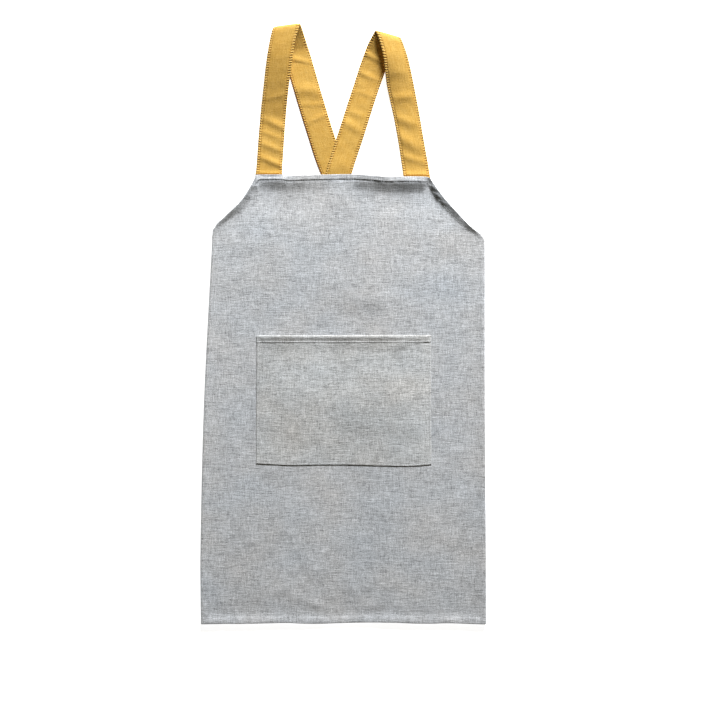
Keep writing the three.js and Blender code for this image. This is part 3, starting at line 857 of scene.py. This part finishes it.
def newMaterial(name, surface, strength, relief):  # a shader with its bump
    material = bpy.data.materials.new(name)
    material.use_nodes = True
    tree = material.node_tree
    tree.nodes.clear()
    shader = node(tree, 'ShaderNodeBsdfPrincipled', surface)
    bump = node(tree, 'ShaderNodeBump', {"Strength": strength, "Distance": relief})
    end = node(tree, 'ShaderNodeOutputMaterial')
    tree.links.new(bump.outputs[0], shader.inputs["Normal"])
    tree.links.new(shader.outputs[0], end.inputs["Surface"])
    return material, shader.inputs, bump.inputs


def clothMaterial(name):
    look = clothLooks[name]
    surface = {"Specular IOR Level": look["shine"]}
    material, shader, bump = newMaterial(name, surface, grain["bump"], look["relief"])
    tree = material.node_tree
    link = tree.links.new
    uv = node(tree, 'ShaderNodeUVMap', uv_map="cloth")
    # Painted shade and painted highlight that each piece carries, read into the weave's colour
    paintedShade = node(tree, 'ShaderNodeAttribute', attribute_name="paintedShade")
    weave = node(tree, 'ShaderNodeGroup', node_tree=marledWeave)
    for key, value in look.items():
        if key in weave.inputs:
            weave.inputs[key].default_value = value
    link(uv.outputs[0], weave.inputs["Cloth"])
    link(paintedShade.outputs["Fac"], weave.inputs["PaintedShade"])
    link(weave.outputs["Color"], shader["Base Color"])
    link(weave.outputs["Roughness"], shader["Roughness"])
    link(weave.outputs["Height"], bump["Height"])
    return material


def threadMaterial(name):
    surface = {"Roughness": threadTwist["rough"], "Sheen Weight": threadTwist["sheen"]}
    material, shader, bump = newMaterial(name, surface, threadTwist["bump"], threadTwist["relief"])
    tree = material.node_tree
    link = tree.links.new
    place = node(tree, 'ShaderNodeTexCoord')
    twist = node(tree, 'ShaderNodeTexNoise', {"Scale": threadTwist["scale"], "Detail": threadTwist["detail"]})
    colour = node(tree, 'ShaderNodeMix', data_type='RGBA')
    colour.inputs[6].default_value = threadLooks[name]["dark"]
    colour.inputs[7].default_value = threadLooks[name]["pale"]
    link(place.outputs["Object"], twist.inputs["Vector"])
    link(twist.outputs["Fac"], colour.inputs["Factor"])
    link(colour.outputs[2], shader["Base Color"])
    link(twist.outputs["Fac"], bump["Height"])
    return material


canvas, pocketCloth, strapCloth = (clothMaterial(name) for name in clothLooks)
greyThread, mustardThread = (threadMaterial(name) for name in threadLooks)
dressed = (
    (bodyCanvas, canvas, "canvas"), (bodyStitching, greyThread, "canvas"),
    (pocketCanvas, pocketCloth, "pocket_canvas"), (pocketStitching, greyThread, "pocket_canvas"),
    (strapLeft, strapCloth, "strap_canvas"), (strapLeftStitching, mustardThread, "strap_canvas"),
    (strapRight, strapCloth, "strap_canvas"), (strapRightStitching, mustardThread, "strap_canvas"),
)
for piece, material, slot in dressed:
    piece.data.materials.append(material)
    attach(piece, "root")
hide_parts("body_panel")
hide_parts("pocket")
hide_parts("strap_left")
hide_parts("strap_right")
print("materials set")

# Floor, light and camera
studio = {
    "floorSize": 30, "floorDrop": 0.0004, "floorWhite": (0.85, 0.85, 0.85, 1), "floorRough": 0.9,
    "floorGlow": 0.9, "glowTint": (1, 1, 1, 1),
    "keyPlace": (0.86, 3.67, 1.88), "keySize": 1.5, "keyPower": 480,
    "fill": 0.08, "fillTint": (1, 0.88, 0.64, 1), "wall": (1, 1, 1, 1),
    "viewWide": 1.296, "viewMiddle": (0.0304, -0.0648), "viewHeight": 6.0, "viewEnd": 100, "sensor": 36,
}
bpy.ops.mesh.primitive_plane_add(size=studio["floorSize"], location=(0, 0, -studio["floorDrop"]))
floor = bpy.context.object
floor.name = "floor"
paper = bpy.data.materials.new("paper")
paper.use_nodes = True
paperShader = paper.node_tree.nodes["Principled BSDF"]
paperShader.inputs["Base Color"].default_value = studio["floorWhite"]
paperShader.inputs["Roughness"].default_value = studio["floorRough"]
paperShader.inputs["Emission Color"].default_value = studio["glowTint"]
paperShader.inputs["Emission Strength"].default_value = studio["floorGlow"]
floor.data.materials.append(paper)

world = bpy.data.worlds.new("softRoom")
world.use_nodes = True
fill = world.node_tree.nodes["Background"]
fill.inputs["Color"].default_value = studio["fillTint"]
fill.inputs["Strength"].default_value = studio["fill"]
wall = node(world.node_tree, 'ShaderNodeBackground', {"Color": studio["wall"]})
seen = node(world.node_tree, 'ShaderNodeLightPath')
room = node(world.node_tree, 'ShaderNodeMixShader')  # white to look at, dim as a light
link = world.node_tree.links.new
link(seen.outputs["Is Camera Ray"], room.inputs[0])
link(fill.outputs[0], room.inputs[1])
link(wall.outputs[0], room.inputs[2])
link(room.outputs[0], world.node_tree.nodes["World Output"].inputs["Surface"])
bpy.context.scene.world = world

bpy.ops.object.light_add(type='AREA', location=studio["keyPlace"])
key = bpy.context.object
key.data.shape = 'DISK'
key.data.size = studio["keySize"]
key.data.energy = studio["keyPower"]
key.rotation_euler = key.location.to_track_quat('Z', 'Y').to_euler()  # aimed at the middle
key.visible_camera = False

bpy.ops.object.camera_add(location=(*studio["viewMiddle"], studio["viewHeight"]), rotation=(0, 0, 0))
camera = bpy.context.object
camera.data.sensor_width = studio["sensor"]
camera.data.lens = studio["sensor"] * studio["viewHeight"] / studio["viewWide"]
camera.data.clip_end = studio["viewEnd"]
bpy.context.scene.camera = camera
bpy.context.scene.view_settings.view_transform = 'Standard'
print("floor, light and camera set")
